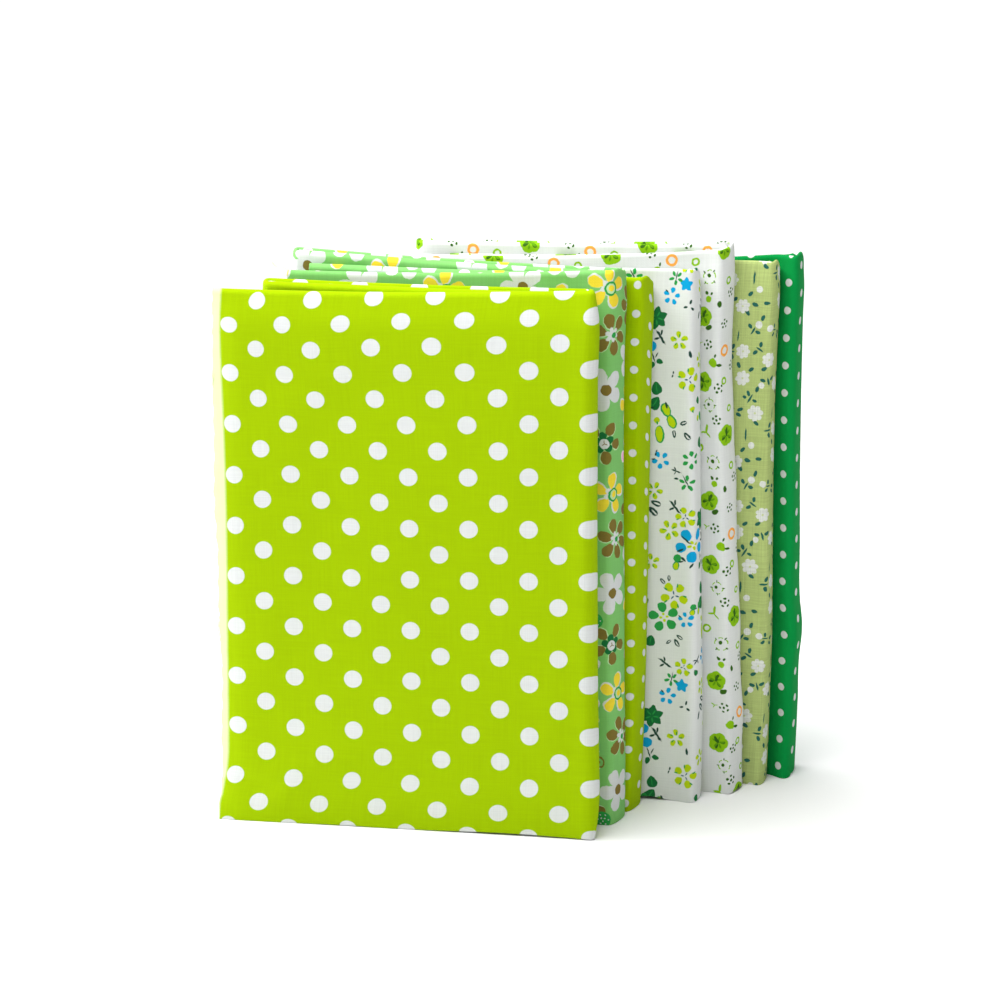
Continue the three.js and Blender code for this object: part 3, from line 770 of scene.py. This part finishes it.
# How each cloth's yarn shows: slub is how much the thicker threads tint it, weave how deep the threads are
# in millimetres, and wobble how far the ink's edges wander in millimetres
Yarn = namedtuple("Yarn", "slub weave wobble")
YARNS = {
    "lime_large_dot_cotton": Yarn(0.045, 0.03, 0.0),
    "sage_flower_cotton": Yarn(0.04, 0.03, 0.3),
    "lime_small_dot_cotton": Yarn(0.045, 0.03, 0.0),
    "white_sprig_cotton": Yarn(0.03, 0.03, 0.25),
    "white_rose_cotton": Yarn(0.03, 0.03, 0.25),
    "straw_blossom_cotton": Yarn(0.12, 0.05, 0.2),
    "green_small_dot_cotton": Yarn(0.03, 0.03, 0.0),
}
FRAYED = "#eef2cf"  # undyed cotton shows where the yarns end
FRAY_BAND = (0.2, 1.1)  # it fades out between these distances from the raw edge
FRAY_SHARE = 0.65
# Plain weave of quilting cotton, about 27 threads to the centimetre, at its real size: it hardly shows
THREAD_PITCH = 0.37
SLUB_STRETCH = (3.1, 0.07)  # the slubs' noise, squeezed across the yarn and drawn out along it
SLUB_RANGE = (0.75, 1.25)  # what two such noises add up to
SLUB_HEIGHT = 0.6  # next to the weave's


def cotton(slot):
    """Printed quilting cotton: a plain weave of matte spun yarn with reactive dye printed on one side.
    The yarn gives a soft, broad shine at grazing light, fine cross threads, and slubs that take more dye."""
    material = bpy.data.materials.new(slot)
    material.use_nodes = True
    tree = material.node_tree
    tree.nodes.clear()
    yarn = YARNS[slot]
    uv = add_node(tree, "UVMap", uv_map="Cloth").outputs[0]
    cloth = add_node(tree, "VectorMath", {0: uv, 3: 1 / MM}, operation="SCALE").outputs[0]
    inked = cloth
    if yarn.wobble:
        wander = add_node(tree, "TexNoise", {"Vector": cloth, "Scale": 0.9, "Detail": 1.5}).outputs["Color"]
        wander = add_node(tree, "VectorMath", {0: wander, 1: (0.5, 0.5, 0.5)}, operation="SUBTRACT")
        wander = add_node(tree, "VectorMath", {0: wander.outputs[0], 3: 2 * yarn.wobble}, operation="SCALE")
        inked = add_node(tree, "VectorMath", {0: cloth, 1: wander.outputs[0]}, operation="ADD").outputs[0]
    flat = add_node(tree, "VectorMath", {0: inked, 1: (1, 1, 0)}, operation="MULTIPLY").outputs[0]
    colour = printed_colour(tree, flat, PRINTS[slot])
    # The raw edge frays to pale, loose yarn.
    across = add_node(tree, "VectorMath", {0: cloth, 1: (1, 0, 0)}, operation="DOT_PRODUCT").outputs[1]
    frayed = add_node(tree, "MapRange",
                      {0: across, 1: FRAY_BAND[0], 2: FRAY_BAND[1], 3: FRAY_SHARE, 4: 0}).outputs[0]
    pale = (*srgb(FRAYED), 1)
    colour = add_node(tree, "Mix", {0: frayed, 6: colour, 7: pale}, data_type="RGBA").outputs[2]
    # Slubs: thicker stretches of yarn, along the warp and along the weft
    slubs = []
    for squeeze in ((*SLUB_STRETCH, 1), (*reversed(SLUB_STRETCH), 1)):
        stretched = add_node(tree, "VectorMath", {0: cloth, 1: squeeze}, operation="MULTIPLY").outputs[0]
        noise = add_node(tree, "TexNoise", {"Vector": stretched, "Scale": 1.0, "Detail": 2.0})
        slubs.append(noise.outputs[0])
    slub = add_node(tree, "Math", {0: slubs[0], 1: slubs[1]}, operation="ADD").outputs[0]
    shade = add_node(tree, "MapRange",
                     {0: slub, 1: SLUB_RANGE[0], 2: SLUB_RANGE[1],
                      3: 1 - yarn.slub, 4: 1 + yarn.slub}).outputs[0]
    colour = add_node(tree, "VectorMath", {0: colour, 3: shade}, operation="SCALE").outputs[0]
    # Threads over and under each other
    split = add_node(tree, "SeparateXYZ", {0: cloth}).outputs
    waves = []
    for axis in (0, 1):
        phase = add_node(tree, "Math", {0: split[axis], 1: math.pi / THREAD_PITCH}, operation="MULTIPLY")
        waves.append(add_node(tree, "Math", {0: phase.outputs[0]}, operation="SINE").outputs[0])
    weave = add_node(tree, "Math", {0: waves[0], 1: waves[1]}, operation="MULTIPLY").outputs[0]
    height = add_node(tree, "Math", {0: slub, 1: SLUB_HEIGHT, 2: weave}, operation="MULTIPLY_ADD").outputs[0]
    bump = add_node(tree, "Bump", {"Strength": 0.35, "Distance": yarn.weave * MM, "Height": height})
    shader = add_node(tree, "BsdfPrincipled", {
        "Base Color": colour, "Roughness": 0.88, "Normal": bump.outputs[0], "Sheen Weight": 0.02,
        "Sheen Roughness": 0.5, "Specular IOR Level": 0.03})
    add_node(tree, "OutputMaterial", {0: shader.outputs[0]})
    return material


# The stage

CAMERA_PITCH = 18.0  # degrees below level
CAMERA_TURN = 8.69  # degrees to the left of straight at the front square
CAMERA_DISTANCE = 1400.0
CAMERA_AIM = (84.2, 0.0, 104.5)  # from pack 1's raw edge, on its front face
LENS = 172.9  # millimetres, on a sensor 36 mm wide


def place_camera(start):
    pitch, turn = math.radians(CAMERA_PITCH), math.radians(-CAMERA_TURN)
    forward = Vector((math.sin(turn) * math.cos(pitch), math.cos(turn) * math.cos(pitch), -math.sin(pitch)))
    aim = Vector((CAMERA_AIM[0] + start[0], CAMERA_AIM[1] + start[1], CAMERA_AIM[2])) * MM
    data = bpy.data.cameras.new("Camera")
    data.sensor_width = 36
    data.lens = LENS
    data.clip_start = 0.01
    camera = bpy.data.objects.new("Camera", data)
    bpy.context.scene.collection.objects.link(camera)
    camera.location = aim - forward * CAMERA_DISTANCE * MM
    camera.rotation_euler = forward.to_track_quat("-Z", "Y").to_euler()
    bpy.context.scene.camera = camera


def add_light(name, kind, place, aim, **settings):
    data = bpy.data.lights.new(name, kind)
    for setting, value in settings.items():
        setattr(data, setting, value)
    light = bpy.data.objects.new(name, data)
    bpy.context.scene.collection.objects.link(light)
    light.location = place
    light.rotation_euler = (Vector(aim) - Vector(place)).to_track_quat("-Z", "Y").to_euler()


class FABRIC_PG_cloth(bpy.types.PropertyGroup):
    """The sizes of one cotton square"""

    width: bpy.props.FloatProperty(name="Width", description="Cut size along the strip", default=0.42,
                                   unit="LENGTH")
    length: bpy.props.FloatProperty(name="Length", description="Cut size that is folded in thirds",
                                    default=0.5, unit="LENGTH")
    ply: bpy.props.FloatProperty(name="Thickness", description="Thickness of the cloth", default=0.00028,
                                 unit="LENGTH")
    flap_short: bpy.props.FloatProperty(name="Flap end", default=0.004, unit="LENGTH",
                                        description="How far a flap stops short of the far fold")


class FABRIC_PG_stage(bpy.types.PropertyGroup):
    """The floor and the light"""

    floor: bpy.props.FloatVectorProperty(name="Floor", description="Colour of the floor", subtype="COLOR",
                                         default=srgb("#fbfbfb"))
    daylight: bpy.props.FloatProperty(name="Daylight", default=0.33,
                                      description="Strength of the light from all round")


def starts():
    """Where each pack's raw edge origin lies on the surface, in millimetres, from the front pack on."""
    places, front = {}, 0.0
    for pack in PACKS:
        places[pack.node] = (ROW_START[0], ROW_START[1] + front)
        front += pack.depth + PACK_GAP
    return places


class FABRIC_OT_add_square(bpy.types.Operator):
    """Fold one printed cotton square and stand it in its place in the row"""

    bl_idname = "fabric.add_square"
    bl_label = "Add folded square"

    node: bpy.props.StringProperty(name="Place", description="Which of the row's solids the cloth dresses")

    def execute(self, context):
        pack = next(each for each in PACKS if each.node == self.node)
        sizes = context.scene.fabric_cloth
        piece = add_cloth(pack, starts()[pack.node], sizes)
        piece.data.materials.append(cotton(pack.slot))
        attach(piece, "root")
        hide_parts(pack.node)
        return {"FINISHED"}


class FABRIC_OT_add_stage(bpy.types.Operator):
    """Add the floor, the light and the camera"""

    bl_idname = "fabric.add_stage"
    bl_label = "Add stage"

    def execute(self, context):
        settings = context.scene.fabric_stage
        clear_selection()
        bpy.ops.mesh.primitive_plane_add(size=12, location=(0, 0, 0))
        floor = context.active_object
        floor.name = "floor"
        paper = bpy.data.materials.new("Matte white paper")
        paper.use_nodes = True
        shader = paper.node_tree.nodes["Principled BSDF"]
        shader.inputs["Base Color"].default_value = (*settings.floor, 1)
        shader.inputs["Roughness"].default_value = 0.95
        shader.inputs["Specular IOR Level"].default_value = 0.1
        floor.data.materials.append(paper)
        world = bpy.data.worlds.new("Light tent")
        context.scene.world = world
        world.use_nodes = True
        light = world.node_tree.nodes["Background"].inputs
        light["Color"].default_value = (1, 1, 1, 1)
        light["Strength"].default_value = settings.daylight
        add_light("Overhead softbox", "SUN", (-0.3, 0.02, 0.95), (0, 0, 0), energy=2.6,
                  angle=math.radians(60))
        add_light("Top panel", "AREA", (-0.08, -0.1, 0.42), (-0.03, -0.035, 0.16), energy=1.15,
                  shape="RECTANGLE", size=0.4, size_y=0.1)
        add_light("Left panel", "AREA", (-0.4, -0.1, 0.09), (-0.08, -0.035, 0.09), energy=1.2,
                  shape="RECTANGLE", size=0.1, size_y=0.25)
        context.scene.cycles.max_bounces = 5
        context.scene.cycles.diffuse_bounces = 3
        context.scene.cycles.adaptive_threshold = 0.03
        place_camera(ROW_START)
        context.scene.view_settings.view_transform = "Standard"
        return {"FINISHED"}


class FABRIC_PT_row(bpy.types.Panel):
    """The row's sizes and its steps"""

    bl_idname = "FABRIC_PT_row"
    bl_label = "Cotton Squares"
    bl_space_type = "VIEW_3D"
    bl_region_type = "UI"
    bl_category = "Cotton Squares"

    def draw(self, context):
        layout = self.layout
        for name in ("width", "length", "ply", "flap_short"):
            layout.prop(context.scene.fabric_cloth, name)
        for pack in PACKS:
            layout.operator("fabric.add_square", text=pack.node).node = pack.node
        for name in ("floor", "daylight"):
            layout.prop(context.scene.fabric_stage, name)
        layout.operator("fabric.add_stage")


CLASSES = (FABRIC_PG_cloth, FABRIC_PG_stage, FABRIC_OT_add_square, FABRIC_OT_add_stage, FABRIC_PT_row)


def register():
    for each in CLASSES:
        bpy.utils.register_class(each)
    bpy.types.Scene.fabric_cloth = bpy.props.PointerProperty(type=FABRIC_PG_cloth)
    bpy.types.Scene.fabric_stage = bpy.props.PointerProperty(type=FABRIC_PG_stage)


def unregister():
    del bpy.types.Scene.fabric_stage
    del bpy.types.Scene.fabric_cloth
    for each in reversed(CLASSES):
        bpy.utils.unregister_class(each)


def main():
    register()
    bpy.ops.fabric.add_stage()
    for pack in PACKS:
        bpy.ops.fabric.add_square(node=pack.node)


if __name__ == "__main__":
    main()
